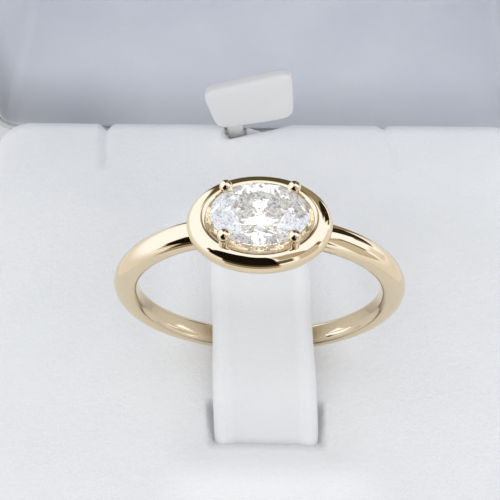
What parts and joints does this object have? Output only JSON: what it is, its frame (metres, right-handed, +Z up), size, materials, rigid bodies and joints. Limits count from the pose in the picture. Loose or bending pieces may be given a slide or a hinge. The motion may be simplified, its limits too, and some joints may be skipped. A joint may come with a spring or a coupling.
{
  "type": "oval diamond ring in a display box",
  "caption": "Plain round-wire gold ring whose domed oval rim carries a claw-set oval diamond, standing on the velvet pad of a hinged display box.",
  "frame": {"origin": "centre of the flat underside of the box's base", "axes": "+X to the right across the box, -Y to its open front, +Z up; the finger hole's axis runs along Y"},
  "size_m": [0.0574, 0.087, 0.0645],
  "materials": {
    "gold": "high polish pale yellow gold",
    "diamond": "clear faceted stone",
    "white_velvet": "flocked velvet",
    "lilac_lining": "soft padded lining",
    "leatherette": "fine grained pale leatherette",
    "hinge_brass": "satin"
  },
  "bodies": {
    "base": {"ring_mount": "gold", "oval_diamond": "diamond", "pad": "white_velvet", "ring_tongue": "white_velvet", "rear_tab": "white_velvet", "box_base": "leatherette", "hinge_base_leaf": "hinge_brass", "hinge_pin": "hinge_brass"},
    "lid": {"box_lid": "leatherette", "lid_lining": "lilac_lining", "hinge_lid_leaf": "hinge_brass"}
  },
  "joints": [
    {"name": "lid_hinge", "type": "hinge", "parent": "base", "child": "lid", "pos_m": [0, 0.0268, 0.0121], "axis": [1, 0, 0], "range_deg": [0, 90]}
  ]
}
